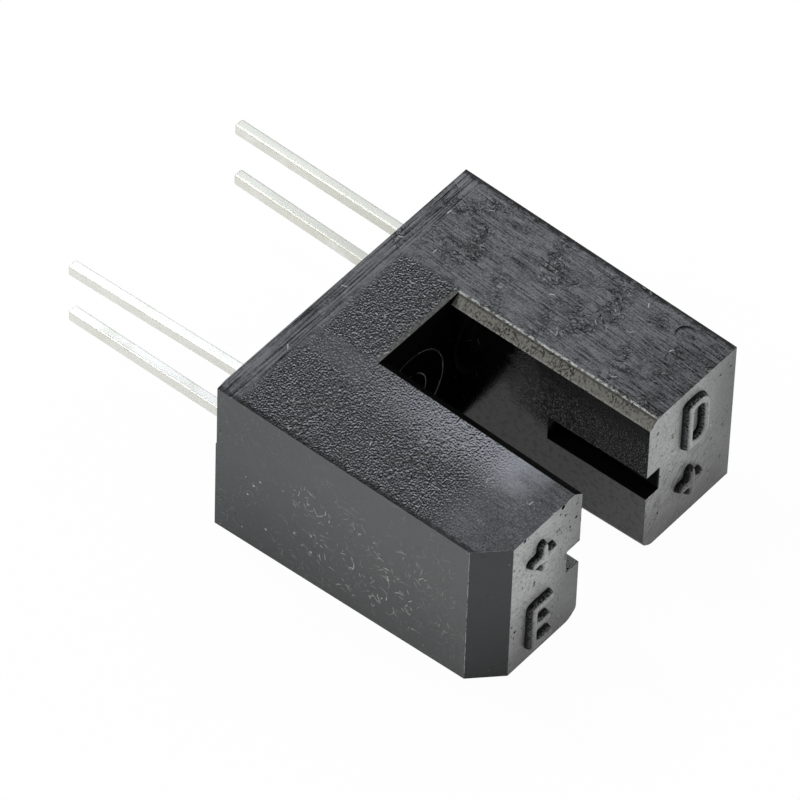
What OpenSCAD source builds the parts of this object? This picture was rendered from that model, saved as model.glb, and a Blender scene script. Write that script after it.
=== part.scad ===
/* [Housing] */
// Width across both arms at the seating face
housing_width = 11.9; // [11.6:0.1:13]
// Thickness at the seating face
housing_thickness = 6.3; // [6:0.1:8]
// Length from the seating face to the tips of the arms
housing_length = 10.8; // [10.6:0.1:13]
// Draft of the outer side faces, in degrees
side_draft = 0.58; // [0:0.02:1]
// Draft of the two broad faces, in degrees
face_draft = 1.06; // [0:0.02:1.4]
// Leg of the index chamfer on the emitter arm's tip corner
index_chamfer = 0.94; // [0.3:0.02:1.1]

/* [Slot] */
// Width of the sensing slot at its floor
slot_width = 3.1; // [2.9:0.1:3.5]
// Depth of the sensing slot from the tips
slot_depth = 7.75; // [6.5:0.05:8.5]
// Draft of the slot's walls, in degrees
slot_draft = 0.52; // [0:0.02:1]
// Width of the chamfer along the slot's long edges
slot_chamfer_width = 0.38; // [0.1:0.02:0.5]
// Height of the chamfer along the slot's long edges
slot_chamfer_height = 0.28; // [0.1:0.02:0.5]

/* [Apertures] */
// Width of the aperture groove in each arm's inner wall
aperture_width = 1; // [0.5:0.05:2]
// Reach of the aperture groove past the optical axis, towards the web
aperture_reach = 1.33; // [0.5:0.01:2]
// Reach of the aperture groove past the inner wall, into the channel
aperture_overrun = 0.05; // [0.02:0.01:0.2]

/* [Pockets] */
// Wall between the slot's floor width and the channel for a lens
inner_wall = 0.65; // [0.5:0.05:0.8]
// Wall that closes a pocket at the tip
tip_wall = 1.2; // [0.8:0.1:2]
// Clearance beside a package in its pocket
pocket_clearance = 0.15; // [0.02:0.01:0.25]
// Clearance beside a lens in its channel
channel_clearance = 0.15; // [0.02:0.01:0.3]
// Height of the ribs that press a package against the front of its pocket
rib_height = 0.3; // [0.1:0.05:0.4]
// Width of a rib
rib_width = 0.5; // [0.2:0.05:1]
// Distance between the two ribs of a pocket
rib_spacing = 2.6; // [1.2:0.1:3]
// Length of the sloped lead-in of a rib
rib_lead_in = 0.9; // [0.2:0.1:1.5]

/* [Packages] */
// Width of a package across its two leads
package_width = 4.6; // [4:0.1:4.8]
// Thickness of a package without its lens
package_thickness = 2; // [1.6:0.05:2.15]
// Height of a package along its leads
package_height = 5.4; // [4.5:0.1:7]
// Draft of a package to both sides of its leads, in degrees
package_draft = 6; // [0:0.5:8]
// Distance from a package's front face to the middle of its leads
lead_depth = 0.87; // [0.82:0.01:1]
// Radius of the lens where it meets the front face
lens_radius = 0.95; // [0.6:0.05:1.2]
// Height of the lens above the front face
lens_height = 0.45; // [0.2:0.05:0.55]
// Gap between the emitter's lens and the floor of its channel
emitter_lens_gap = 0.07; // [0.02:0.01:0.3]
// Gap between the detector's lens and the floor of its channel
detector_lens_gap = 0.35; // [0.02:0.01:0.4]
// Distance of the lens's axis from the end of its package
lens_offset = 1.32; // [1.3:0.02:2]

/* [Leads] */
// Distance between the two leads of a package
lead_pitch = 2.54; // [2.3:0.02:2.8]
// Thickness of the lead strip
lead_thickness = 0.38; // [0.3:0.01:0.5]
// Width of a lead
lead_width = 0.44; // [0.3:0.01:0.6]
// Length of the emitter's leads below the seating face
emitter_lead_length = 7.76; // [3:0.02:12]
// Length of the detector's leads below the seating face
detector_lead_length = 7.65; // [3:0.02:12]
// Chamfer around the end of a lead
lead_tip_chamfer = 0.09; // [0.02:0.01:0.14]
// Outward lean of the emitter's leads, in degrees
emitter_splay = 0.5; // [0:0.05:2]
// Outward lean of the detector's leads, in degrees
detector_splay = 1.18; // [0:0.02:2]
// Lean of the emitter's leads towards each other, in degrees
emitter_toe_in = 1.05; // [0:0.05:2]
// Lean of the detector's leads towards each other, in degrees
detector_toe_in = 0.53; // [0:0.01:2]

/* [Chips and wires] */
// Side of the emitter's chip
emitter_chip_size = 0.3; // [0.2:0.01:0.34]
// Side of the detector's chip
detector_chip_size = 0.5; // [0.3:0.01:0.7]
// Height of a chip
chip_height = 0.18; // [0.14:0.01:0.2]
// Depth of the cup under the emitter's chip
cup_depth = 0.12; // [0.05:0.01:0.14]
// Room between the corners of the emitter's chip and the cup's wall
cup_clearance = 0.06; // [0.01:0.01:0.1]
// Slope of the cup's wall from its axis, in degrees
cup_angle = 37; // [10:1:45]
// Width of the rim around the cup
pad_margin = 0.06; // [0.02:0.01:0.1]
// Gap between the chip's pad and the wire's pad
pad_gap = 0.18; // [0.1:0.01:0.22]
// Distance of the wire's landing from the edge of its pad
wire_inset = 0.15; // [0.05:0.01:0.2]
// Diameter of a bond wire
wire_diameter = 0.05; // [0.03:0.01:0.06]

/* [Hidden] */
$fn = 64;

// Colours of the pieces
black_plastic = [0.17, 0.175, 0.18];
tinned_metal = [0.86, 0.87, 0.83];
clear_epoxy = [0.75, 0.80, 0.88];
dark_epoxy = [0.10, 0.09, 0.11];
chip_grey = [0.35, 0.33, 0.38];
gold = [0.90, 0.72, 0.28];

// Spare length by which a cut passes the face that it opens
cut_spare = 1;

// Depth by which the room for a chip or a wire in the epoxy runs into what that piece sits on
room_overlap = wire_diameter / 2;

// Planes along the leads, measured from the seating face at zero
tip_y = -housing_length;
slot_floor_y = tip_y + slot_depth;
pocket_end_y = tip_y + tip_wall;
package_base_y = pocket_end_y + package_height;
axis_y = pocket_end_y + lens_offset;
aperture_end_y = axis_y + aperture_reach;

// Half sizes of the drafted housing at the tips
tip_half_width = housing_width / 2 - housing_length * tan(side_draft);
tip_half_thickness = housing_thickness / 2 - housing_length * tan(face_draft);

// Pocket planes that both arms share
channel_floor_x = slot_width / 2 + inner_wall;
channel_half = lens_radius + channel_clearance;
pocket_half = package_width / 2 + pocket_clearance;

// Pads of the leads inside a package, measured from the optical axis
cup_floor_radius = emitter_chip_size * sqrt(0.5) + cup_clearance;
cup_rim_radius = cup_floor_radius + cup_depth * tan(cup_angle);
pad_half = cup_rim_radius + pad_margin;
wire_pad_edge = pad_half + pad_gap;
wire_loop_radius = (wire_pad_edge + wire_inset) / 2;

// Sphere of which the lens is a cap
lens_sphere_radius = (lens_radius * lens_radius + lens_height * lens_height) / (2 * lens_height);

// Half thickness of the housing at a distance along the leads
function half_thickness(y) = housing_thickness / 2 + y * tan(face_draft);

// Half width of the slot at a distance along the leads
function slot_half(y) = slot_width / 2 + (slot_floor_y - y) * tan(slot_draft);

// Front face of a package whose lens stands off its channel's floor by a gap
function front_x(lens_gap) = channel_floor_x + lens_gap + lens_height;

// Middle plane of the leads of that package
function lead_x(lens_gap) = front_x(lens_gap) + lead_depth;

// Face of the leads that the chip and the wire sit on
function lead_face_x(lens_gap) = lead_x(lens_gap) - lead_thickness / 2;

// Outer wall of the pocket that holds that package
function pocket_outer_x(lens_gap) = front_x(lens_gap) + package_thickness + rib_height;

// Draws a profile in the plane of the leads and gives it a thickness across the arms
module across(from_x, to_x) {
    translate([from_x, 0, 0]) rotate([90, 0, 90]) linear_extrude(to_x - from_x) children();
}

// Draws a profile in plan and gives it a thickness around the middle plane
module through(height) {
    translate([0, 0, -height / 2]) linear_extrude(height) children();
}

// Solid outer form: a plan outline and a side outline, both drafted towards the tips
module outer_form() {
    intersection() {
        through(housing_thickness + cut_spare) polygon([
            [-housing_width / 2, 0],
            [housing_width / 2, 0],
            [tip_half_width, tip_y],
            [index_chamfer - tip_half_width, tip_y],
            [-tip_half_width - index_chamfer * tan(side_draft), tip_y + index_chamfer],
        ]);
        across(-housing_width, housing_width) polygon([
            [0, -housing_thickness / 2],
            [0, housing_thickness / 2],
            [tip_y, tip_half_thickness],
            [tip_y, -tip_half_thickness],
        ]);
    }
}

// Wedge along one long edge of the slot, which leans with the wall and the broad face
module slot_edge_wedge() {
    spare = 0.5;
    start_y = slot_floor_y + cut_spare;
    low = -slot_chamfer_height * (1 + spare);
    wide = slot_chamfer_width * (1 + spare);
    back = -slot_chamfer_width * spare;
    high = slot_chamfer_height * spare;
    translate([slot_half(start_y), start_y, half_thickness(start_y)])
        rotate([90 + face_draft, 0, slot_draft])
            linear_extrude(slot_depth + 3 * cut_spare) polygon([[back, low], [wide, high], [back, high]]);
}

// Sensing slot with chamfered long edges, wider at the tips than at its floor
module slot_cut() {
    start_y = slot_floor_y + cut_spare;
    end_y = tip_y - cut_spare;
    intersection() {
        union() {
            through(housing_thickness + cut_spare) polygon([
                [-slot_half(start_y), start_y],
                [slot_half(start_y), start_y],
                [slot_half(end_y), end_y],
                [-slot_half(end_y), end_y],
            ]);
            for (arm = [0, 1], face = [0, 1])
                mirror([arm, 0, 0]) mirror([0, 0, face]) slot_edge_wedge();
        }
        translate([-housing_width / 2, end_y, -housing_thickness])
            cube([housing_width, slot_floor_y - end_y, 2 * housing_thickness]);
    }
}

// Groove in one inner wall, open at the tip and through to the channel
module aperture_cut() {
    reach = channel_floor_x + aperture_overrun;
    translate([0, tip_y - cut_spare, -aperture_width / 2])
        cube([reach, aperture_end_y - tip_y + cut_spare, aperture_width]);
}

// Two ribs on a pocket's outer wall that bear on the back of the package
module ribs(lens_gap) {
    outer = pocket_outer_x(lens_gap);
    face = outer - rib_height;
    for (side = [-1, 1])
        translate([0, 0, side * rib_spacing / 2]) through(rib_width) polygon([
            [outer + cut_spare, pocket_end_y - cut_spare],
            [face, pocket_end_y - cut_spare],
            [face, package_base_y],
            [outer, package_base_y + rib_lead_in],
            [outer + cut_spare, package_base_y + rib_lead_in],
        ]);
}

// Block from the end of a pocket out through the seating face
module pocket_block(from_x, to_x, half) {
    translate([from_x, pocket_end_y, -half])
        cube([to_x - from_x, cut_spare - pocket_end_y, 2 * half]);
}

// Pocket in one arm: room for a package, and in front of it a channel that its lens slides along
module pocket_cut(lens_gap) {
    front = front_x(lens_gap);
    difference() {
        pocket_block(front, pocket_outer_x(lens_gap), pocket_half);
        ribs(lens_gap);
    }
    pocket_block(channel_floor_x, front, channel_half);
}

// Moulded U-shaped housing with two hollow arms
module housing() {
    color(black_plastic) difference() {
        outer_form();
        slot_cut();
        for (arm = [0, 1])
            mirror([arm, 0, 0]) aperture_cut();
        pocket_cut(detector_lens_gap);
        mirror([1, 0, 0]) pocket_cut(emitter_lens_gap);
    }
}

// Epoxy body drafted to both sides of the plane of its leads
module package_body(lens_gap) {
    front = front_x(lens_gap);
    middle = lead_x(lens_gap);
    back = front + package_thickness;
    half = package_width / 2;
    front_inset = lead_depth * tan(package_draft);
    back_inset = (package_thickness - lead_depth) * tan(package_draft);
    intersection() {
        translate([0, package_base_y, 0]) rotate([90, 0, 0]) linear_extrude(package_height) polygon([
            [front, front_inset - half],
            [middle, -half],
            [back, back_inset - half],
            [back, half - back_inset],
            [middle, half],
            [front, half - front_inset],
        ]);
        through(package_width) polygon([
            [front, pocket_end_y + front_inset],
            [middle, pocket_end_y],
            [back, pocket_end_y + back_inset],
            [back, package_base_y - back_inset],
            [middle, package_base_y],
            [front, package_base_y - front_inset],
        ]);
    }
}

// Lens on the front face, a cap of a sphere
module lens(lens_gap) {
    front = front_x(lens_gap);
    intersection() {
        translate([front - lens_height + lens_sphere_radius, axis_y, 0]) sphere(lens_sphere_radius);
        translate([front - lens_height, axis_y, 0]) rotate([0, 90, 0])
            cylinder(h = lens_height + lead_depth / 2, r = lens_radius);
    }
}

// Lower lead stamped from strip: a pad inside the package, a riser, and a leg that leans to its tip
module lead(lens_gap, length, splay, toe_in, pad_edge_z) {
    leg = length - package_base_y;
    middle_x = lead_x(lens_gap);
    end_x = middle_x + leg * tan(splay);
    middle_z = -lead_pitch / 2;
    end_z = middle_z + leg * tan(toe_in);
    half_t = lead_thickness / 2;
    half_w = lead_width / 2;
    pad_low_y = axis_y - pad_half;
    pad_high_y = axis_y + pad_half;
    intersection() {
        through(package_width) polygon([
            [middle_x - half_t, pad_low_y],
            [middle_x + half_t, pad_low_y],
            [middle_x + half_t, package_base_y],
            [end_x + half_t, length - lead_tip_chamfer],
            [end_x + half_t - lead_tip_chamfer, length],
            [end_x - half_t + lead_tip_chamfer, length],
            [end_x - half_t, length - lead_tip_chamfer],
            [middle_x - half_t, package_base_y],
        ]);
        across(0, housing_width) polygon([
            [pad_low_y, pad_edge_z],
            [pad_high_y, pad_edge_z],
            [pad_high_y, middle_z + half_w],
            [package_base_y, middle_z + half_w],
            [length - lead_tip_chamfer, end_z + half_w],
            [length, end_z + half_w - lead_tip_chamfer],
            [length, end_z - half_w + lead_tip_chamfer],
            [length - lead_tip_chamfer, end_z - half_w],
            [package_base_y, middle_z - half_w],
            [pad_low_y, middle_z - half_w],
        ]);
    }
}

// Lead that carries the chip, below the middle plane
module chip_lead(lens_gap, length, splay, toe_in) {
    lead(lens_gap, length, splay, toe_in, pad_half);
}

// Lead that the bond wire lands on, above the middle plane
module wire_lead(lens_gap, length, splay, toe_in) {
    mirror([0, 0, 1]) lead(lens_gap, length, splay, toe_in, -wire_pad_edge);
}

// Square chip whose back sits at a distance behind the face of its lead
module chip(lens_gap, size, sunk, overlap = 0) {
    translate([lead_face_x(lens_gap) + sunk - chip_height, axis_y - size / 2, -size / 2])
        cube([chip_height + overlap, size, size]);
}

// Straight end of a bond wire, at one side of its loop
module wire_end(side, length) {
    translate([0, 0, side * wire_loop_radius]) rotate([0, 90, 0])
        cylinder(h = length, d = wire_diameter);
}

// Loop from the chip's face to the face of the other lead
module bond_wire(lens_gap, sunk, overlap = 0) {
    translate([lead_face_x(lens_gap) + sunk - chip_height, axis_y, wire_loop_radius]) {
        rotate([90, -90, 0]) rotate_extrude(angle = 180)
            translate([wire_loop_radius, 0]) circle(d = wire_diameter);
        wire_end(1, chip_height - sunk + overlap);
        if (overlap > 0) wire_end(-1, overlap);
    }
}

// Emitter's pieces, on the left arm
module emitter_cathode_lead() {
    color(tinned_metal) mirror([1, 0, 0]) difference() {
        chip_lead(emitter_lens_gap, emitter_lead_length, emitter_splay, emitter_toe_in);
        translate([lead_face_x(emitter_lens_gap), axis_y, 0]) rotate([0, 90, 0])
            cylinder(h = cup_depth, r1 = cup_rim_radius, r2 = cup_floor_radius);
    }
}

module emitter_anode_lead() {
    color(tinned_metal) mirror([1, 0, 0])
        wire_lead(emitter_lens_gap, emitter_lead_length, emitter_splay, emitter_toe_in);
}

module emitter_chip() {
    color(chip_grey) mirror([1, 0, 0]) chip(emitter_lens_gap, emitter_chip_size, cup_depth);
}

module emitter_bond_wire() {
    color(gold) mirror([1, 0, 0]) bond_wire(emitter_lens_gap, cup_depth);
}

module emitter_package() {
    color(clear_epoxy) difference() {
        mirror([1, 0, 0]) {
            package_body(emitter_lens_gap);
            lens(emitter_lens_gap);
        }
        emitter_cathode_lead();
        emitter_anode_lead();
        mirror([1, 0, 0]) {
            chip(emitter_lens_gap, emitter_chip_size, cup_depth, room_overlap);
            bond_wire(emitter_lens_gap, cup_depth, room_overlap);
        }
    }
}

// Detector's pieces, on the right arm
module detector_collector_lead() {
    color(tinned_metal)
        chip_lead(detector_lens_gap, detector_lead_length, detector_splay, detector_toe_in);
}

module detector_emitter_lead() {
    color(tinned_metal)
        wire_lead(detector_lens_gap, detector_lead_length, detector_splay, detector_toe_in);
}

module detector_chip() {
    color(chip_grey) chip(detector_lens_gap, detector_chip_size, 0);
}

module detector_bond_wire() {
    color(gold) bond_wire(detector_lens_gap, 0);
}

module detector_package() {
    color(dark_epoxy) difference() {
        union() {
            package_body(detector_lens_gap);
            lens(detector_lens_gap);
        }
        detector_collector_lead();
        detector_emitter_lead();
        chip(detector_lens_gap, detector_chip_size, 0, room_overlap);
        bond_wire(detector_lens_gap, 0, room_overlap);
    }
}

housing();
emitter_package();
emitter_cathode_lead();
emitter_anode_lead();
emitter_chip();
emitter_bond_wire();
detector_package();
detector_collector_lead();
detector_emitter_lead();
detector_chip();
detector_bond_wire();
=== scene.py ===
import math
from contextlib import contextmanager
from functools import partial, reduce
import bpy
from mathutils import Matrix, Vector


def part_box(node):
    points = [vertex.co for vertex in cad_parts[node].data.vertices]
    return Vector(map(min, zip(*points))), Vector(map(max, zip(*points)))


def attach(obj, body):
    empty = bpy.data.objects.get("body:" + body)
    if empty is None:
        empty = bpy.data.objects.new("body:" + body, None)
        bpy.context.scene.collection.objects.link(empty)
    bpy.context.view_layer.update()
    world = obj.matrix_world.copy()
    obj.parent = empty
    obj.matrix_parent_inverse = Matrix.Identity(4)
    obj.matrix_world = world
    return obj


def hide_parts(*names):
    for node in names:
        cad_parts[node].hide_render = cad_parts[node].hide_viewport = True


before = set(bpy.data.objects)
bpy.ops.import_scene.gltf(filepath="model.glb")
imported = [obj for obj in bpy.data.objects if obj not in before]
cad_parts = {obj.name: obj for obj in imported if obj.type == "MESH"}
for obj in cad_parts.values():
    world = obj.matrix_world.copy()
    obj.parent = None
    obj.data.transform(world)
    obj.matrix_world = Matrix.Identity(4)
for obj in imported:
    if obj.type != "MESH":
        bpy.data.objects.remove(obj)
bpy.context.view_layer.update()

from types import SimpleNamespace

import bmesh
import bpy
from mathutils import Matrix, Vector

bl_info = {
    "name": "Slotted optical switch",
    "version": (1, 0, 0),
    "blender": (4, 5, 0),
    "location": "View3D > Sidebar > Optical switch",
    "description": "Models the moulded housing and tinned leads of a slotted optical switch and lights them",
    "category": "Add Mesh",
}

# One millimetre, and the scale at which pieces are modelled: one unit to the millimetre
MM = 0.001
BENCH = 1 / MM

# Spare length by which a cutter passes the face that it opens, in millimetres
SPARE = 1.0

# Hair's breadth between the switch and the ground, in millimetres, so that the two faces don't coincide
GROUND_GAP = 0.01

# Distance within which vertices are merged, in millimetres
MERGE_DISTANCE = 0.0005

# Least part of a vector along an axis for it to count as running along that axis
SQUARE = 0.9

# Lean of the slot's walls and of the outer sides, which the finishes follow
SLOT_LEAN = 0.0091
SIDE_LEAN = 0.0101

QUARTER_TURN = math.pi / 2
SMOOTH_ANGLE = math.radians(35)

# Width of the camera's sensor, in millimetres
SENSOR_WIDTH = 36

# Numbers of the axes, and signs of the arms along X and of the rows of leads along Z
X, Y, Z = range(3)
EMITTER_SIDE = -1
DETECTOR_SIDE = 1
UPPER = 1
LOWER = -1


def length(name, description, millimetres):
    """A length property, given in millimetres and stored in metres."""
    size = millimetres * MM
    return bpy.props.FloatProperty(name=name, description=description, default=size, unit="LENGTH")


def angle(name, description, degrees):
    """An angle property, given in degrees and stored in radians."""
    turn = math.radians(degrees)
    return bpy.props.FloatProperty(name=name, description=description, default=turn, subtype="ANGLE")


def colour(name, description, red, green, blue):
    """A colour property."""
    return bpy.props.FloatVectorProperty(
        name=name, description=description, default=(red, green, blue), size=3, min=0, max=1, subtype="COLOR"
    )


def level(name, description, value):
    """A plain number, such as a light's radiance."""
    return bpy.props.FloatProperty(name=name, description=description, default=value, min=0)


class HousingSizes(bpy.types.PropertyGroup):
    """Sizes of the moulded housing that its outer box doesn't give"""

    side_draft: angle("Side draft", "Draft of the outer side faces", 0.58)
    face_draft: angle("Face draft", "Draft of the two broad faces", 1.06)
    index_chamfer: length("Index chamfer", "Leg of the chamfer on the emitter arm's tip corner", 0.94)
    slot_width: length("Slot width", "Width of the sensing slot at its floor", 3.1)
    slot_depth: length("Slot depth", "Depth of the sensing slot from the tips", 7.75)
    slot_draft: angle("Slot draft", "Draft of the slot's walls", 0.52)
    chamfer_width: length("Slot chamfer width", "Width of the chamfer along the slot's long edges", 0.38)
    chamfer_height: length("Slot chamfer height", "Height of the chamfer along the slot's long edges", 0.28)
    aperture_width: length("Aperture width", "Width of the aperture grooves", 1.0)
    aperture_length: length("Aperture length", "Length of the aperture grooves from the tips", 3.85)
    inner_wall: length("Inner wall", "Wall between the slot and the channel for a lens", 0.65)
    aperture_overrun: length("Aperture overrun", "Reach of an aperture groove past the inner wall", 0.05)
    clearance: length("Clearance", "Clearance beside a package and its lens", 0.15)
    lens_radius: length("Lens radius", "Radius of a package's lens", 0.95)
    lens_height: length("Lens height", "Height of a package's lens", 0.45)
    rib_height: length("Rib height", "Height of the ribs behind a package", 0.3)
    rib_width: length("Rib width", "Width of a rib", 0.5)
    rib_spacing: length("Rib spacing", "Distance between the two ribs of a pocket", 2.6)
    rib_lead_in: length("Rib lead-in", "Length of the sloped start of a rib", 0.9)
    edge_radius: length("Edge radius", "Rounding of the moulded edges", 0.05)
    lower_radius: length("Lower slot edge radius", "Rounding of the slot's edges on the lower face", 0.12)
    relief_width: length("Gate relief width", "Width of the relief at the emitter arm's rear corner", 0.45)
    relief_depth: length("Gate relief depth", "Depth of the gate relief", 0.13)
    relief_height: length("Gate relief height", "Height of the gate relief below the upper face", 2.57)


class SignSizes(bpy.types.PropertyGroup):
    """Sizes of the raised signs on the tips and of the marks that the mould leaves"""

    stroke_base: length("Stroke base", "Width of a raised stroke at its foot", 0.46)
    stroke_top: length("Stroke top", "Width of a raised stroke at its top", 0.27)
    stroke_height: length("Stroke height", "Height of a raised stroke", 0.26)
    grain: length("Softness", "Size of the cells that round the strokes into one form", 0.02)
    ring_radius: length("Core ring radius", "Radius of the core's ring mark on the slot's floor", 1.67)
    ring_thickness: length("Core ring thickness", "Thickness of the core's ring mark", 0.05)
    ejector_radius: length("Ejector mark radius", "Radius of the ejector mark on the detector arm", 0.35)
    ejector_depth: length("Ejector mark depth", "Depth of the ejector mark", 0.07)


class LeadSizes(bpy.types.PropertyGroup):
    """Sizes of the tinned leads"""

    thickness: length("Thickness", "Thickness of the lead strip", 0.38)
    width: length("Width", "Width of a lead", 0.44)
    edge_radius: length("Edge radius", "Rounding of a lead's long edges", 0.08)
    tip_radius: length("Tip radius", "Rounding of a lead's end", 0.05)
    pad_half: length("Pad half length", "Half length of the pads inside a package", 0.42)
    cup_rim: length("Cup rim radius", "Radius of the cup's rim under the emitter's chip", 0.36)
    cup_floor: length("Cup floor radius", "Radius of the cup's floor", 0.27)
    cup_depth: length("Cup depth", "Depth of the cup", 0.12)
    emitter_toe_in: angle("Emitter toe-in", "Lean of the emitter's leads towards each other", 1.05)
    detector_toe_in: angle("Detector toe-in", "Lean of the detector's leads towards each other", 0.53)


class Finishes(bpy.types.PropertyGroup):
    """Colours of the finishes"""

    plastic: colour("Plastic", "Black moulding compound", 0.012, 0.0125, 0.0135)
    plastic_peak: colour("Worn plastic", "Raised grain and scratches of the compound", 0.15, 0.155, 0.17)
    # Also the colour of painted shade: the grain's shaded sides, the signs' flanks and the slot's walls
    plastic_pit: colour("Pits", "Pits and cuts in the moulding compound", 0.003, 0.003, 0.003)
    # Colour of painted highlights on the grain and of a sink mark
    glint: colour("Glints", "Sides of the grain that catch the light", 0.41, 0.43, 0.49)
    dust: colour("Dust", "Pale dust and hair scratches", 0.42, 0.43, 0.42)
    tip: colour("Tip faces", "Matt grey bloom of the tip faces", 0.44, 0.452, 0.445)
    # Pale chamfers: rubbed wear, lightened by a painted reflection of the warm key light
    chamfer: colour("Slot chamfers", "Rubbed chamfers of the slot", 0.122, 0.12, 0.1)
    tin: colour("Tin", "Tin plate of the leads", 0.92, 0.92, 0.9)
    # Also painted shade on the leads' tops and sides
    tin_stain: colour("Tin stain", "Yellowish film on the tin plate", 0.78, 0.78, 0.71)
    clear_epoxy: colour("Clear epoxy", "Emitter's package", 0.78, 0.82, 0.88)
    dark_epoxy: colour("Dark epoxy", "Detector's package", 0.012, 0.010, 0.013)
    chip: colour("Chip", "Semiconductor chips", 0.2, 0.19, 0.23)
    gold: colour("Gold", "Bond wires", 0.9, 0.68, 0.28)
    ground: colour("Ground", "Pale ground that the switch lies on", 0.9, 0.9, 0.9)


class StageSettings(bpy.types.PropertyGroup):
    """Camera and light"""

    camera_place: bpy.props.FloatVectorProperty(
        name="Camera place", description="Place of the camera", default=(-0.1504, -0.12055, 0.21825),
        size=3, subtype="TRANSLATION", unit="LENGTH",
    )
    camera_turn: angle("Camera turn", "Heading of the camera about the upright axis", -51.85)
    camera_rise: angle("Camera rise", "Angle by which the camera looks down", 48.87)
    camera_roll: angle("Camera roll", "Roll of the camera about its view", -2.11)
    lens: level("Lens", "Focal length on a 36 mm sensor, in millimetres", 424.7)
    ground_size: length("Ground size", "Side of the ground", 3000)
    ambient: level("Ambient light", "Light from all around", 0.4)
    ceiling: level("Ceiling", "Brightness of the dim ceiling in reflections", 0.15)
    overhead: level("Overhead box", "Radiance of the cool light box above and behind", 1.8)
    rear: level("Rear box", "Radiance of the small cool light box behind the leads", 22.0)
    key: level("Key box", "Radiance of the small warm light box at the upper left", 6.0)
    front: level("Front box", "Radiance of the light box in front of the tips", 3.0)


def at_bench_scale(group):
    """A group's values, with its lengths in millimetres."""
    values = {}
    for prop in group.bl_rna.properties:
        if prop.identifier not in ("rna_type", "name"):
            value = getattr(group, prop.identifier)
            values[prop.identifier] = value * BENCH if prop.unit == "LENGTH" else value
    return SimpleNamespace(**values)


def bench_box(node):
    """Lowest and highest corner of a CAD node, in millimetres."""
    return [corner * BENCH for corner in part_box(node)]


def deselect():
    """Clears the selection."""
    bpy.ops.object.select_all(action="DESELECT")


def activate(piece):
    """Makes a piece the one selected and active object."""
    deselect()
    piece.select_set(True)
    bpy.context.view_layer.objects.active = piece


@contextmanager
def editing(piece):
    """Opens a piece in edit mode."""
    activate(piece)
    bpy.ops.object.mode_set(mode="EDIT")
    yield piece
    bpy.ops.object.mode_set(mode="OBJECT")


def middle(part):
    """Middle of an edge."""
    return (part.verts[0].co + part.verts[1].co) / 2


def choose(piece, kind, test):
    """Selects the vertices, edges or faces that pass a test, in edit mode."""
    bpy.ops.mesh.select_mode(type=kind)
    bpy.ops.mesh.select_all(action="DESELECT")
    mesh = bmesh.from_edit_mesh(piece.data)
    parts = {"VERT": mesh.verts, "EDGE": mesh.edges, "FACE": mesh.faces}[kind]
    for part in parts:
        if test(part):
            part.select_set(True)
    mesh.select_flush_mode()
    bmesh.update_edit_mesh(piece.data)


def shift(piece, test, move):
    """Moves the vertices that pass a test, in edit mode."""
    choose(piece, "VERT", test)
    bpy.ops.transform.translate(value=move)


def extrude(move):
    """Extrudes the selected faces by a move, in edit mode."""
    bpy.ops.mesh.extrude_region_move(TRANSFORM_OT_translate={"value": move})


def settle():
    """Applies the place of the object that was just added, and gives the object."""
    bpy.ops.object.transform_apply(location=True, rotation=True, scale=True)
    return bpy.context.object


def add_block(name, low, high):
    """Adds a block between two corners."""
    low = Vector(low)
    high = Vector(high)
    deselect()
    bpy.ops.mesh.primitive_cube_add(size=1, location=(low + high) / 2, scale=high - low)
    bpy.context.object.name = name
    return settle()


def apply_modifier(piece, kind, **settings):
    """Adds a modifier to a piece and applies it."""
    activate(piece)
    modifier = piece.modifiers.new(kind.lower(), kind)
    for name, value in settings.items():
        setattr(modifier, name, value)
    bpy.ops.object.modifier_apply(modifier=modifier.name)


def round_edges(piece, radius, least_turn):
    """Rounds the edges of a piece that turn by more than an angle in degrees."""
    limit = math.radians(least_turn)
    apply_modifier(piece, "BEVEL", width=radius, segments=3, limit_method="ANGLE", angle_limit=limit)


def combine(piece, tool, operation):
    """Cuts a tool out of a piece or joins it to the piece, and removes the tool."""
    apply_modifier(piece, "BOOLEAN", operation=operation, object=tool, solver="EXACT")
    bpy.data.meshes.remove(tool.data)


def taper(piece, run, draft, axis, grow):
    """Leans the two sides of a block along its length, so that its tip end is wider or narrower."""
    centre = sum((v.co.y for v in piece.data.vertices)) / len(piece.data.vertices)
    with editing(piece):
        for side in (-1, 1):
            move = Vector((0, 0, 0))
            move[axis] = side * grow * run * math.tan(draft)
            shift(piece, lambda v: v.co.y < centre and v.co[axis] * side > 0, move)


def model_outer_form(sizes):
    """Drafted block with the index chamfer."""
    low, high = bench_box("housing")
    shell = add_block("housing_moulding", low, high)
    taper(shell, high.y - low.y, sizes.side_draft, axis=X, grow=-1)
    taper(shell, high.y - low.y, sizes.face_draft, axis=Z, grow=-1)
    centre = (low.y + high.y) / 2

    def is_index_corner(edge):
        place = middle(edge)
        return place.x < low.x / 2 and place.y < centre and abs(place.z) < SPARE

    with editing(shell):
        choose(shell, "EDGE", is_index_corner)
        bpy.ops.mesh.bevel(offset=sizes.index_chamfer, segments=1, affect="EDGES")
    return shell


def is_lower_slot_edge(edge, low, reach):
    """Whether an edge runs along the slot on the lower broad face or its chamfer."""
    run = edge.verts[1].co - edge.verts[0].co
    place = middle(edge)
    along = abs(run.y) > SQUARE * run.length and run.length > 2 * SPARE
    return along and abs(place.x) < reach and low.z < place.z < low.z / 2


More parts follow.
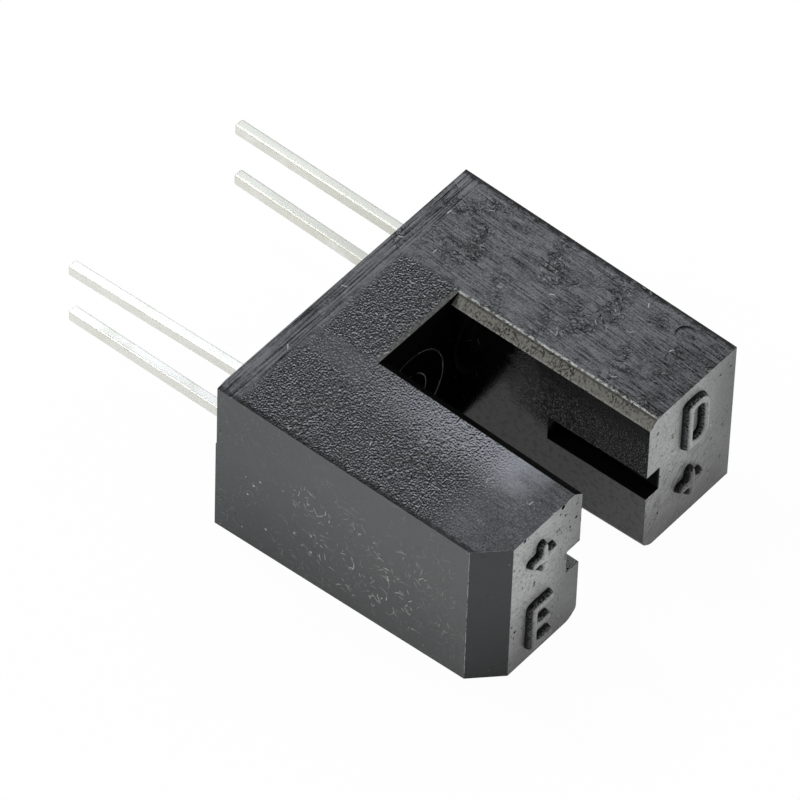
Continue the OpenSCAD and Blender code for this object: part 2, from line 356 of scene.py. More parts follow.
def cut_slot(shell, sizes):
    """Cuts the sensing slot with its flared long edges, and rounds the moulded edges."""
    low, high = bench_box("housing")
    floor = low.y + sizes.slot_depth
    end = low.y - SPARE
    half = sizes.slot_width / 2
    neck = high.z + floor * math.tan(sizes.face_draft) - sizes.chamfer_height
    flare = 2.0
    cutter = add_block("slot_cutter", (-half, end, -neck), (half, floor, neck))
    with editing(cutter):
        for row in (LOWER, UPPER):
            choose(cutter, "FACE", lambda f: f.normal.z * row > SQUARE)
            rise = (0, 0, row * flare * sizes.chamfer_height)
            extrude(rise)
            widen = 1 + flare * sizes.chamfer_width / half
            bpy.ops.transform.resize(value=(widen, 1, 1), center_override=(0, 0, 0))
    taper(cutter, floor - end, sizes.slot_draft, axis=X, grow=1)
    taper(cutter, floor - end, sizes.face_draft, axis=Z, grow=-1)
    combine(shell, cutter, "DIFFERENCE")
    with editing(shell):
        choose(shell, "EDGE", lambda e: is_lower_slot_edge(e, low, half + 2 * sizes.chamfer_width))
        bpy.ops.mesh.bevel(offset=sizes.lower_radius, segments=4, affect="EDGES")
    round_edges(shell, sizes.edge_radius, least_turn=30)


def cut_apertures(shell, sizes):
    """Cuts one groove across both inner walls, open at the tips."""
    tip = bench_box("housing")[0].y
    reach = sizes.slot_width / 2 + sizes.inner_wall + sizes.aperture_overrun
    half = sizes.aperture_width / 2
    end = tip + sizes.aperture_length
    groove = add_block("aperture_cutter", (-reach, tip - SPARE, -half), (reach, end, half))
    combine(shell, groove, "DIFFERENCE")


def span(side, start, end):
    """Two distances from the middle as a rising pair on one side of the switch."""
    return sorted((side * start, side * end))


def cut_pocket(shell, sizes, package, side):
    """Cuts the pocket for a package, with its two ribs and the channel for its lens."""
    low, high = bench_box(package)
    back = max(abs(low.x), abs(high.x))
    front = min(abs(low.x), abs(high.x)) + sizes.lens_height
    outer = back + sizes.rib_height
    half = high.z + sizes.clearance
    x0, x1 = span(side, front, outer)
    room = add_block("pocket_cutter", (x0, low.y, -half), (x1, SPARE, half))
    for row in (LOWER, UPPER):
        x0, x1 = span(side, back, outer + SPARE)
        z0 = row * sizes.rib_spacing / 2 - sizes.rib_width / 2
        rib = add_block("rib_cutter", (x0, low.y - SPARE, z0), (x1, high.y, z0 + sizes.rib_width))
        with editing(rib):
            choose(rib, "FACE", lambda f: f.normal.y > SQUARE)
            extrude((0, sizes.rib_lead_in, 0))
            lead_in_end = high.y + sizes.rib_lead_in / 2
            slope = (side * sizes.rib_height, 0, 0)
            shift(rib, lambda v: v.co.y > lead_in_end and abs(v.co.x) < outer, slope)
        combine(room, rib, "DIFFERENCE")
    combine(shell, room, "DIFFERENCE")
    x0, x1 = span(side, sizes.slot_width / 2 + sizes.inner_wall, front + sizes.aperture_overrun)
    reach = sizes.lens_radius + sizes.clearance
    channel = add_block("channel_cutter", (x0, low.y, -reach), (x1, SPARE, reach))
    combine(shell, channel, "DIFFERENCE")


def cut_gate_relief(shell, sizes):
    """Cuts the small relief of the mould's gate at the emitter arm's rear corner."""
    low, high = bench_box("housing")
    corner = (low.x - SPARE, -sizes.relief_depth, high.z - sizes.relief_height)
    far_corner = (low.x + sizes.relief_width, SPARE, high.z + SPARE)
    cutter = add_block("relief_cutter", corner, far_corner)
    with editing(cutter):
        shift(cutter, lambda v: v.co.x > low.x and v.co.y < SPARE / 2, (0, sizes.relief_depth, 0))
    combine(shell, cutter, "DIFFERENCE")


def add_stroke(start, end, signs, face):
    """Adds one raised stroke with round ends and a round back between two points of a tip face."""
    sink = signs.stroke_height / 2
    rounding = 0.4 * signs.stroke_top
    run = Vector((end[0] - start[0], 0, end[1] - start[1]))
    deselect()
    bpy.ops.mesh.primitive_cone_add(
        vertices=32,
        radius1=signs.stroke_base / 2,
        radius2=signs.stroke_top / 2,
        depth=signs.stroke_height + sink,
        location=(start[0], face + (sink - signs.stroke_height) / 2, start[1]),
        rotation=(QUARTER_TURN, 0, 0),
    )
    stroke = settle()
    origin = Vector((start[0], 0, start[1]))
    with editing(stroke):
        choose(stroke, "FACE", lambda f: f.normal.y < -SQUARE)
        bpy.ops.mesh.bevel(offset=rounding, segments=3, affect="EDGES")
        shift(stroke, lambda v: (v.co - origin).dot(run) > 0, run)
    return stroke


def cross_strokes(centre, reach):
    """The two strokes of a plus sign."""
    x, z = centre
    return [((x - reach, z), (x + reach, z)), ((x, z - reach), (x, z + reach))]


def comb_strokes(left, right, levels):
    """A stem with a bar at each level, the middle one a little shorter."""
    top, centre, bottom = levels
    inset = (right - left) / 6
    return [
        ((left, bottom), (left, top)),
        ((left, top), (right, top)),
        ((left, centre), (right - inset, centre)),
        ((left, bottom), (right, bottom)),
    ]


def bow_strokes(left, right, bottom, top, radius, steps=5):
    """A stem closed by a bow with round corners."""
    path = [(left, bottom), (left, top)]
    for start, z in ((90, top - radius), (0, bottom + radius)):
        for step in range(steps + 1):
            turn = math.radians(start - 90 * step / steps)
            path.append((right - radius + radius * math.cos(turn), z + radius * math.sin(turn)))
    path.append(path[0])
    return list(zip(path, path[1:]))


def add_sign(shell, strokes, signs):
    """Rounds a sign's strokes into one form and joins it to the tip face."""
    face = bench_box("housing")[0].y
    parts = [add_stroke(start, end, signs, face) for start, end in strokes]
    activate(parts[0])
    for part in parts:
        part.select_set(True)
    bpy.ops.object.join()
    sign = bpy.context.object
    apply_modifier(sign, "REMESH", mode="VOXEL", voxel_size=signs.grain)
    apply_modifier(sign, "SMOOTH", factor=0.5, iterations=80)
    combine(shell, sign, "UNION")


def add_signs(shell, signs):
    """Adds the plain polarity and function signs of the two tips."""
    add_sign(shell, cross_strokes(centre=(-3.6, 1.61), reach=0.47), signs)
    add_sign(shell, comb_strokes(left=-3.95, right=-3.17, levels=(-0.58, -1.42, -2.26)), signs)
    add_sign(shell, bow_strokes(left=3.43, right=4.22, bottom=0.53, top=2.3, radius=0.38), signs)
    add_sign(shell, cross_strokes(centre=(3.7, -1.32), reach=0.45), signs)


def add_mould_marks(shell, sizes, signs):
    """Adds the core's rings on the slot's floor and the ejector's round mark on the detector arm."""
    low, high = bench_box("housing")
    ring_centre = (-0.42, low.y + sizes.slot_depth, 0.25)
    for radius in (signs.ring_radius, signs.ring_radius / 2):
        deselect()
        bpy.ops.mesh.primitive_torus_add(
            major_radius=radius,
            minor_radius=signs.ring_thickness / 2,
            major_segments=128,
            minor_segments=8,
            location=ring_centre,
            rotation=(QUARTER_TURN, 0, 0),
        )
        combine(shell, settle(), "UNION")
    ejector = Vector((5.2, -9.32, 0))
    ejector.z = high.z + ejector.y * math.tan(sizes.face_draft) + SPARE / 2 - signs.ejector_depth
    deselect()
    bpy.ops.mesh.primitive_cylinder_add(
        vertices=64,
        radius=signs.ejector_radius,
        depth=SPARE,
        location=ejector,
        rotation=(sizes.face_draft, 0, 0),
    )
    combine(shell, settle(), "DIFFERENCE")


def clean(piece):
    """Merges doubles, turns the faces outwards and shades the rounded edges smoothly."""
    with editing(piece):
        bpy.ops.mesh.select_all(action="SELECT")
        bpy.ops.mesh.remove_doubles(threshold=MERGE_DISTANCE)
        bpy.ops.mesh.dissolve_degenerate(threshold=MERGE_DISTANCE)
        bpy.ops.mesh.select_all(action="SELECT")
        bpy.ops.mesh.normals_make_consistent(inside=False)
    activate(piece)
    bpy.ops.object.shade_smooth_by_angle(angle=SMOOTH_ANGLE)
    apply_modifier(piece, "WEIGHTED_NORMAL", keep_sharp=True)


def to_real_size(piece):
    """Brings a piece from the bench scale to metres, with its place in its mesh."""
    activate(piece)
    piece.scale = (MM, MM, MM)
    bpy.ops.object.transform_apply(location=True, rotation=True, scale=True)


def hand_over(piece, node):
    """Gives a finished piece to the frame in place of its CAD node."""
    to_real_size(piece)
    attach(piece, "root")
    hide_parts(node)


class Field:
    """A number that varies over a surface, with arithmetic that adds shader nodes."""

    def __init__(self, nodes, socket):
        self.nodes = nodes
        self.socket = socket

    def __add__(self, other):
        return self.nodes.math("ADD", self, other)

    def __mul__(self, other):
        return self.nodes.math("MULTIPLY", self, other)

    def __sub__(self, other):
        return self.nodes.math("SUBTRACT", self, other)

    def __rsub__(self, other):
        return self.nodes.math("SUBTRACT", other, self)

    def __abs__(self):
        return self.nodes.math("ABSOLUTE", self)

    def step(self, low, high):
        """Soft step from 0 at low to 1 at high."""
        inputs = {"Value": self, "From Min": low, "From Max": high}
        return self.nodes.fields("MapRange", inputs, interpolation_type="SMOOTHSTEP")[0]

    def band(self, rise, full, fade, end):
        """Soft band: 0 up to rise, 1 from full to fade, 0 from end."""
        return self.step(rise, full) * self.step(end, fade)

    def between(self, low, high):
        """Number from low, where the field is 0, to high, where it is 1."""
        return self * (high - low) + low


class Nodes:
    """Short calls that build a node tree."""

    def __init__(self, tree):
        self.tree = tree

    def feed(self, socket, value):
        """Links a socket to a field or to another socket, or sets its value."""
        source = value.socket if isinstance(value, Field) else value
        if isinstance(source, bpy.types.NodeSocket):
            self.tree.links.new(source, socket)
        else:
            socket.default_value = source

    def add(self, kind, inputs, **settings):
        """Adds a node with its settings and inputs, and gives its outputs."""
        node = self.tree.nodes.new("ShaderNode" + kind)
        for name, value in settings.items():
            setattr(node, name, value)
        for name, value in inputs.items():
            self.feed(node.inputs[name], value)
        return node.outputs

    def fields(self, kind, inputs, **settings):
        """Adds a node and gives its outputs as fields."""
        return [Field(self, socket) for socket in self.add(kind, inputs, **settings)]

    def math(self, operation, a, b=0.0):
        """One arithmetic step."""
        return self.fields("Math", {0: a, 1: b}, operation=operation)[0]

    def most(self, *values):
        """Highest of several values."""
        return reduce(partial(self.math, "MAXIMUM"), values)

    def ray(self, kind):
        """One for rays of a kind, such as camera rays, and 0 for others."""
        return Field(self, self.add("LightPath", {})[f"Is {kind} Ray"])


class Recipe(Nodes):
    """Node tree of one finish, on a piece's own coordinates in millimetres."""

    def __init__(self, name):
        self.material = bpy.data.materials.new(name)
        self.material.use_nodes = True
        super().__init__(self.material.node_tree)
        self.shader = self.tree.nodes["Principled BSDF"]
        coordinates = self.add("TexCoord", {})
        self.place = self.add("Mapping", {"Vector": coordinates["Object"], "Scale": [BENCH] * 3})[0]
        self.x, self.y, self.z = self.fields("SeparateXYZ", {"Vector": self.place})
        self.normal = self.fields("SeparateXYZ", {"Vector": coordinates["Normal"]})
        self.tipward = self.normal[Y] * -1.0

    def surface(self, inputs):
        """Sets the shader's own inputs."""
        for name, value in inputs.items():
            self.feed(self.shader.inputs[name], value)

    def turned(self, stretch=(1, 1, 1), turn=(0, 0, 0), offset=(0, 0, 0)):
        """Coordinates in millimetres, turned and then stretched."""
        spun = self.add("Mapping", {"Vector": self.place, "Rotation": turn, "Location": offset})[0]
        return self.add("Mapping", {"Vector": spun, "Scale": stretch})[0]

    def noise(self, scale, detail=2.0, roughness=0.5, **placing):
        """Cloudy noise, with its scale in features to the millimetre."""
        where = self.turned(**placing) if placing else self.place
        inputs = {"Vector": where, "Scale": scale, "Detail": detail, "Roughness": roughness}
        return Field(self, self.add("TexNoise", inputs)["Fac"])

    def blend(self, factor, first, second):
        """Blend of two colours."""
        result = self.add("Mix", {"Factor": factor}, data_type="RGBA")[2]
        for socket, value in zip(result.node.inputs[6:8], (first, second)):
            self.feed(socket, value if isinstance(value, bpy.types.NodeSocket) else (*value, 1.0))
        return result

    def bump(self, height, depth):
        """Bump whose height runs from 0 to 1 over a depth in millimetres."""
        normal = self.add("Bump", {"Height": height, "Distance": depth * MM, "Strength": 1.0})[0]
        self.surface({"Normal": normal})

    def cells(self, scale, where):
        """Scattered cells, and three chance numbers of each cell."""
        outputs = self.add("TexVoronoi", {"Vector": where, "Scale": scale})
        return outputs, self.fields("SeparateColor", {"Color": outputs["Color"]})

    def dots(self, scale, share, size, **placing):
        """Scattered dots in a share of cells, up to a size in cells: 1 in a dot, 0 elsewhere."""
        cells, chance = self.cells(scale, self.turned(**placing) if placing else self.place)
        past_rim = Field(self, cells["Distance"]) - chance[0] * (size / share)
        return past_rim.step(0.08, 0.0) * self.math("LESS_THAN", chance[0], share)

    def strokes(self, turn, cell_length, cell_width, share, seed):
        """Scattered short strokes on the broad faces, all at one angle: 1 on a stroke, 0 beside it."""
        stretch = (1 / cell_width, 1 / cell_length, 1 / cell_length)
        spin = (0, 0, math.radians(turn))
        return self.dots(1.0, share, 0.45, stretch=stretch, turn=spin, offset=[seed] * 3)

    def hairs(self, axis, scale, share, reach, width, offset):
        """Scattered hairs at chance angles on the faces across an axis, with half their length and width."""
        flat = [1, 1, 1]
        flat[axis] = 0
        where = self.turned(flat, offset=offset)
        cells, chance = self.cells(scale, where)
        away = self.add("VectorMath", {0: where, 1: cells["Position"]}, operation="SUBTRACT")[0]
        parts = self.fields("SeparateXYZ", {"Vector": away})
        u, v = parts[:axis] + parts[axis + 1:]
        turn = chance[1] * (2 * math.pi)
        cosine = self.math("COSINE", turn)
        sine = self.math("SINE", turn)
        along = u * cosine + v * sine
        beside = v * cosine - u * sine
        bend = along * along * (chance[2] - 0.5) * (0.6 / reach)
        thin = abs(beside + bend).step(width, 0.3 * width)
        short = abs(along).step(reach, 0.8 * reach)
        return thin * short * self.math("LESS_THAN", chance[0], share) * chance[2].between(0.6, 1.0)

    def broken(self):
        """Stretches of an edge that carry a painted highlight, with gaps."""
        return self.noise(5.0, detail=4.0, roughness=0.6).step(0.4, 0.54)


def scaled(tint, factor):
    """A colour made lighter or darker."""
    return [factor * part for part in tint]


def grained_plastic(colours):
    """Spark-eroded broad faces: coarse grain with painted light and shade on its bumps, a smooth drawn
    border, a rubbed detector arm, and painted highlights of a sink mark and of the detector arm's slot edge.
    """
    mix = Recipe("grained_plastic")
    wander = mix.noise(0.9, detail=3.0)
    across = mix.x + wander * 0.8 - 0.4
    along = mix.y + wander * 1.2 - 0.6
    border = (mix.y + wander * 0.3 - 0.15).step(-1.0, -0.65)
    rubbed = mix.x.step(1.88, 2.05)
    tip_wear = along.step(-7.6, -9.3)
    calm = tip_wear * (1 - rubbed)
    seam = across.band(-3.2, -2.8, -2.1, -1.8) * along.step(-3.4, -2.4)
    # Painted highlight: a bluish reflection of the overhead light box in a shallow sink mark along the
    # emitter arm's slot side
    sink_highlight_length = along.band(-10.4, -8.6, -7.4, -1.5)
    glow = across.step(-3.9, -2.3) * mix.x.step(-1.3, -1.6) * sink_highlight_length
    ragged = mix.noise(6.0, detail=3.0) * 0.36 - 0.18
    rim = (abs(mix.x) - mix.y * SIDE_LEAN + ragged).step(5.68, 5.88)
    rear_lip = (mix.y + wander * 0.1).step(-2.81, -2.87) * abs(mix.x).step(1.95, 1.8)
    grain = (1 - border) * (1 - rubbed * 0.85) * (1 - tip_wear * 0.85) * (1 - seam * 0.5)
    grain = grain * (1 - rear_lip * 0.8)
    smooth = 1 - grain
    # Painted light and shade on the grain: the sides of its bumps that face the light take the glint colour,
    # and the sides turned away take the pit colour
    lean = (0, 0, math.radians(48))
    lit_side = mix.noise(15.0, stretch=(1.15, 1, 1), turn=lean, offset=(0, 0.024, 0))
    dark_side = mix.noise(15.0, stretch=(1.15, 1, 1), turn=lean, offset=(0, -0.024, 0))
    fine = mix.noise(17.0, detail=3.0, roughness=0.6)
    slope = lit_side - dark_side + (fine - 0.5) * 0.6
    glint = slope.step(0.04, 0.3) * grain
    painted_grain_shade = slope.step(0.015, -0.13) * grain
    drawn = mix.noise(1.0, detail=4.0, roughness=0.6, stretch=(0.4, 17.0, 1))
    brushed = mix.noise(1.0, detail=4.0, roughness=0.7, stretch=(17.0, 1.0, 1), turn=(0, 0, 0.05))
    lines = drawn * border + brushed * (1 - border)
    weight = mix.most(border.between(0.5, 0.75), rubbed * 0.68)
    scuffs = fine + (lines - fine) * weight
    patches = mix.noise(1.1, detail=4.0, offset=(4, 9, 0)).step(0.45, 0.62)
    worn = patches.between(0.12, 1.0) * rubbed.between(0.1, 1.0)
    vein = abs(mix.noise(4.5, detail=4.0, roughness=0.6, stretch=(1, 0.6, 1)) - 0.5)
    cuts = worn * mix.most(
        mix.hairs(Z, 2.4, 0.6, 0.17, 0.03, (1, 4, 0)),
        mix.hairs(Z, 3.2, 0.6, 0.12, 0.026, (5, 2, 0)),
        mix.hairs(Z, 4.6, 0.6, 0.08, 0.026, (8, 6, 0)),
        mix.strokes(3, 1.6, 0.03, 0.16, 7.0),
        mix.strokes(-24, 0.45, 0.03, 0.16, 2.0),
        vein.step(0.035, 0.01) * fine.step(0.38, 0.52),
    )
    flecks = mix.hairs(Z, 4.0, 0.32, 0.07, 0.026, (3, 7, 0)) * rubbed.between(0.5, 1.0) * patches
    scratches = mix.hairs(Z, 0.7, 0.5, 0.1, 0.026, (2, 5, 0))
    dust = mix.most(mix.dots(2.2, 0.04, 0.1), flecks * 0.55, scratches)
    shade = mix.noise(1.6, detail=4.0, roughness=0.65).step(0.55, 0.4) * 0.25
    shade = shade + mix.y.step(-8.6, -10.4) * rubbed.between(0.18, 0.3)
    polish = scuffs.step(0.44, 0.58) * calm.between(0.75, 0.45)
    polish = polish + rubbed * 0.16 - shade * 0.4 + calm * 0.04 - 0.06
    groove = (scuffs.step(0.48, 0.38) + shade) * smooth * calm.between(0.85, 0.5)
    dark = mix.most(painted_grain_shade, cuts, groove, rim * rubbed.between(0.75, 0.85))
    # Painted highlight along the detector arm's rounded slot edge, broken by gaps
    lip = (mix.x + mix.y * SLOT_LEAN).band(1.86, 1.88, 1.93, 1.98) * mix.y.step(-2.9, -3.1)
    mottled = fine.step(0.42, 0.6).between(0.3, 0.75)
    base = mix.blend(polish * smooth, colours.plastic, colours.plastic_peak)
    # Painted highlight of the sink mark
    base = mix.blend(glow, base, scaled(colours.glint, 0.6))
    base = mix.blend(glint, base, colours.glint)
    # Painted highlight of the slot edge
    base = mix.blend(lip * mix.broken(), base, scaled(colours.tip, 1.15))
    # Pits, cuts, grooves and the dark rim, with the painted shade of the grain's sides
    base = mix.blend(dark, base, colours.plastic_pit)
    base = mix.blend(rear_lip * mottled, base, scaled(colours.chamfer, 0.75))
    base = mix.blend(dust, base, colours.dust)
    shine = dark.between(0.55, 0.05) * (1 - rear_lip * 0.5)
    mix.surface({"Base Color": base, "Roughness": 0.32, "IOR": 1.6, "Specular IOR Level": shine})
    mix.bump((lit_side - 0.5) * grain + (scuffs - 0.5) * smooth * 0.3 - cuts * 0.2, 0.1)
    return mix.material


def smooth_plastic(colours):
    """Satin outer sides with fine hair scratches, pits, dust and chipped upper edges, and painted shade
    towards the bottom, on faces turned to the tips and in the recesses near the slot.
    """
    mix = Recipe("smooth_plastic")
    cloud = mix.noise(0.7, detail=3.0)
    fine = mix.noise(16.0, detail=2.0)
    side = abs(mix.normal[X]).step(0.85, 0.95)
    front = mix.tipward.step(0.3, 0.6)
    inside = abs(mix.x).step(3.0, 2.8) * mix.y.step(-1.5, -2.5)
    groove_end = mix.y.step(-10.72, -10.8) * inside
    middle_part = mix.y.band(-9.8, -8.2, -4.2, -2.4) * mix.z.band(-2.9, -1.9, 0.5, 1.7)
    patches = mix.noise(1.0, detail=3.0, offset=(7, 3, 5)).step(0.42, 0.62)
    handled = middle_part.between(0.2, 1.0) * patches.between(0.12, 0.85) * side
    handled = handled * (1 - mix.x.step(-1.0, 1.0) * 0.6)
    hairs = handled * mix.most(
        mix.hairs(X, 1.9, 0.4, 0.2, 0.018, (0, 3, 1)),
        mix.hairs(X, 2.4, 0.4, 0.15, 0.018, (0, 8, 5)),
        mix.hairs(X, 3.2, 0.3, 0.1, 0.018, (0, 5, 9)),
        mix.hairs(X, 4.5, 0.25, 0.07, 0.018, (0, 1, 7)),
    )
    brink = mix.normal[Z].step(0.12, 0.35) * mix.z.step(2.7, 2.85)
    chipped = brink * mix.noise(5.0, detail=4.0, roughness=0.6).step(0.36, 0.5) * 0.9
    specks = mix.dots(4.0, 0.3, 0.25, offset=(2, 9, 4)) * brink
    dust = mix.most(mix.dots(3.2, 0.06, 0.1) * side.between(0.7, 1.0), specks)
    pits = mix.dots(3.0, 0.08, 0.12, offset=(3, 1, 2))
    corner = mix.tipward.band(0.1, 0.3, 0.5, 0.66) * mix.x.step(-4.0, -5.0)
    nicked = mix.noise(4.0, detail=4.0, roughness=0.6).step(0.4, 0.6)
    # Painted shade: the lighter tone fades towards the bottom and on faces turned to the tips, and the
    # recesses near the slot keep the plain dark plastic; painted light lightens the recesses' edges at the
    # tips
    tone = cloud * 0.12 + fine * 0.2 + mix.z.step(-3.2, 2.0) * 0.1 + 0.06
    tone = tone * (1 - front * 0.4) * (1 - inside) + groove_end * 0.6
    pale = scaled(colours.dust, 1.5)
    base = mix.blend(tone, colours.plastic, colours.plastic_peak)
    base = mix.blend(chipped, base, colours.plastic_pit)
    base = mix.blend(mix.most(hairs, dust * 0.7), base, pale)
    base = mix.blend(pits * 0.8, base, colours.plastic_pit)
    base = mix.blend(corner * nicked, base, pale)
    shine = mix.z.step(-3.4, 1.6).between(0.34, 0.55) * (1 - pits * 0.7) * (1 - front * 0.5)
    shine = shine * mix.y.step(-7.0, -0.5).between(1.0, 0.66) * (1 - inside * 0.9) * (1 - chipped)
    rough = cloud.between(0.24, 0.32)
    mix.surface({"Base Color": base, "Roughness": rough, "IOR": 1.58, "Specular IOR Level": shine})
    mix.surface({"Specular Tint": (0.95, 1.0, 0.95, 1.0)})
    mix.bump(fine * 0.4 - pits + hairs * 0.3, 0.012)
    return mix.material


def tip_plastic(colours):
    """Tip faces in matt grey that fades under painted shade towards the bottom and the detector's side, with
    black pits, and raised signs with painted shade on their flanks.
    """
    mix = Recipe("tip_plastic")
    face = bench_box("housing")[0].y
    flank_height = 0.22
    arm_distance = 7.3
    rise = (face - mix.y) * (1 / flank_height)
    flat = mix.tipward.step(0.55, 0.97)
    far_side = mix.x.step(-0.1, 0.1)
    arm = mix.x - far_side * arm_distance
    outer = arm.step(-1.4, -4.2)
    cloud = mix.noise(0.9, detail=5.0, roughness=0.65)
    # Painted shade: the bloom fades towards the bottom and towards the detector's side of each tip, a little
    # more on the detector's tip; a painted highlight lightens the emitter tip's upper corner by the slot
    bloom_with_painted_shade = mix.z.step(-3.3, 0.9) * outer * far_side.between(0.92, 0.76)
    corner = mix.z.step(0.2, 1.2) * (1 - outer) * (1 - far_side) * 0.25
    bloom_with_painted_shade = bloom_with_painted_shade + corner + cloud * 0.3 - 0.12
    clusters = mix.noise(0.8, detail=3.0, offset=(1, 2, 3)).step(0.45, 0.6)
    pits = mix.dots(3.6, 0.3, 0.24) * clusters.between(0.5, 1.0)
    small_pits = mix.dots(8.0, 0.42, 0.36, offset=(2, 5, 1)) * clusters.between(0.3, 1.0)
    upper_inner = mix.z.step(0.7, 1.3) * arm.step(-3.1, -2.6) * (1 - far_side)
    large_pits = mix.dots(4.0, 0.8, 0.32, offset=(6, 1, 4)) * upper_inner
    hole = mix.most(pits, small_pits * 0.75, large_pits)
    dust = mix.dots(4.0, 0.07, 0.1, offset=(4, 2, 6))
    mottle = mix.noise(13.0, detail=3.0, roughness=0.6)
    streaks = mix.noise(1.0, detail=3.0, stretch=(1.6, 1.0, 13.0), turn=(0, math.radians(53), 0))
    scuffs = streaks.step(0.5, 0.6) * mix.z.step(1.0, -0.6) * far_side * mix.x.step(5.6, 4.4)
    far_cross = rise.step(0.05, 0.4) * mix.z.step(-0.4, -0.7) * far_side * 0.55
    # Painted shade on the signs' flanks: black at their foot, rising to a mottled grey higher up; the flat
    # tops keep the face's colour
    grey = rise.step(0.1, 0.9) * mottle.step(0.46, 0.58) * (1 - far_cross) * 0.8
    shaded_flank = mix.blend(grey, colours.plastic_pit, colours.plastic_peak)
    base = mix.blend(bloom_with_painted_shade, colours.plastic, colours.tip)
    base = mix.blend(mottle.step(0.55, 0.35) * 0.45, base, colours.plastic)
    base = mix.blend(mix.most(hole, scuffs * 0.7), base, colours.plastic_pit)
    base = mix.blend(dust, base, colours.dust)
    base = mix.blend(far_cross, base, colours.plastic)
    base = mix.blend(flat, shaded_flank, base)
    shine = flat.between(0.1, 0.8) * (1 - hole)
    rough = flat.between(0.5, 0.34)
    mix.surface({"Base Color": base, "Roughness": rough, "IOR": 1.65, "Specular IOR Level": shine})
    mix.bump(mottle * 0.5 - hole, 0.03)
    return mix.material


def slot_plastic(colours):
    """Glossy black walls of the slot, darker than the plastic outside as painted shade, with a grained patch
    on the detector's side and a dead black floor.
    """
    mix = Recipe("slot_plastic")
    far_side = mix.x.step(1.0, 1.4)
    cloud = (mix.noise(1.5, detail=3.0) - 0.5) * 1.2
    patch = (mix.y + cloud).step(-5.2, -6.8) * (mix.z + cloud).step(-0.3, 0.5) * far_side
    floor = mix.tipward.step(0.93, 0.99) * mix.y.step(-4.0, -3.5)
    corner = mix.y.step(-3.2, -3.1) * abs(mix.x).step(1.4, 1.48)
    upward = mix.normal[Z].step(0.6, 0.9) * mix.z.step(0.5, 0.0)
    ledge = upward * (1 - far_side)
    wall = abs(mix.normal[X]).step(0.7, 0.9)
    fine = mix.noise(18.0, detail=3.0, roughness=0.6)
    pits = mix.dots(9.0, 0.7, 0.42) * ledge
    marks = mix.most(mix.dots(3.0, 0.1, 0.12), mix.hairs(X, 2.0, 0.25, 0.14, 0.02, (0, 6, 2)))
    marks = marks * wall * far_side.between(0.1, 0.3)
    stain = mix.noise(5.0, detail=4.0, roughness=0.65).step(0.52, 0.36)
    stain = mix.most(stain, mix.hairs(X, 2.6, 0.5, 0.14, 0.03, (0, 2, 8))) * wall
    grain = mix.most(patch, ledge)
    light = fine.step(0.52, 0.62) * patch * mix.z.step(2.6, 1.3).between(0.15, 1.2)
    # Painted shade inside the slot: its walls start from the pits' colour, darker than the plastic outside
    base = mix.blend(mix.most(light, marks), colours.plastic_pit, colours.plastic_peak)
    base = mix.blend(fine.step(0.25, 0.6) * ledge * 0.6, base, colours.dust)
    base = mix.blend(pits, base, colours.plastic_pit)
    shine = (1 - floor) * (1 - patch * 0.9) * (1 - upward * far_side) * (1 - pits) * 0.7
    shine = shine * (1 - stain * 0.35) * (1 - corner)
    rough = grain.between(0.12, 0.36)
    mix.surface({"Base Color": base, "Roughness": rough, "IOR": 1.52, "Specular IOR Level": shine})
    mix.bump((fine - 0.5) * grain.between(0.03, 1.0), 0.08)
    return mix.material


def rubbed_sheen_plastic(colours):
    """Detector arm's slot chamfers, rubbed pale and lightened by a painted reflection of the warm key light,
    with dark cuts across, a painted shadow line and a nicked painted highlight along the upper edge.
    """
    mix = Recipe("rubbed_sheen_plastic")
    across = mix.x + mix.y * SLOT_LEAN
    fibre = mix.noise(1.0, detail=3.0, roughness=0.65, stretch=(11.0, 15.0, 11.0))
    clusters = mix.noise(1.6, detail=3.0).step(0.42, 0.58)
    cuts = mix.most(
        mix.hairs(Z, 3.0, 0.5, 0.12, 0.024, (1, 4, 0)),
        mix.hairs(Z, 4.5, 0.5, 0.08, 0.024, (6, 2, 0)),
    )
    speckle = fibre.step(0.49, 0.39) * clusters.between(0.45, 1.0)
    shadow = across.band(1.8, 1.83, 1.86, 1.88) * fibre.step(0.35, 0.5) * 0.7
    dark = mix.most(cuts * clusters.between(0.3, 1.0), speckle, shadow)
    # Pale base: rubbed wear, lightened by a painted reflection of the warm key light
    base = mix.blend(fibre.step(0.35, 0.65), scaled(colours.chamfer, 0.7), colours.chamfer)
    # Lighter along the lower edge, and a broken painted highlight along the upper edge
    base = mix.blend(across.step(1.6, 1.52) * 0.25, base, colours.tip)
    base = mix.blend(across.step(1.87, 1.89) * mix.broken(), base, scaled(colours.tip, 1.15))
    base = mix.blend(dark * 0.92, base, colours.plastic_pit)
    shine = dark.between(0.5, 0.1)
    mix.surface({"Base Color": base, "Roughness": 0.4, "IOR": 1.6, "Specular IOR Level": shine})
    mix.bump(fibre * 0.3 - cuts * 0.4, 0.05)
    return mix.material


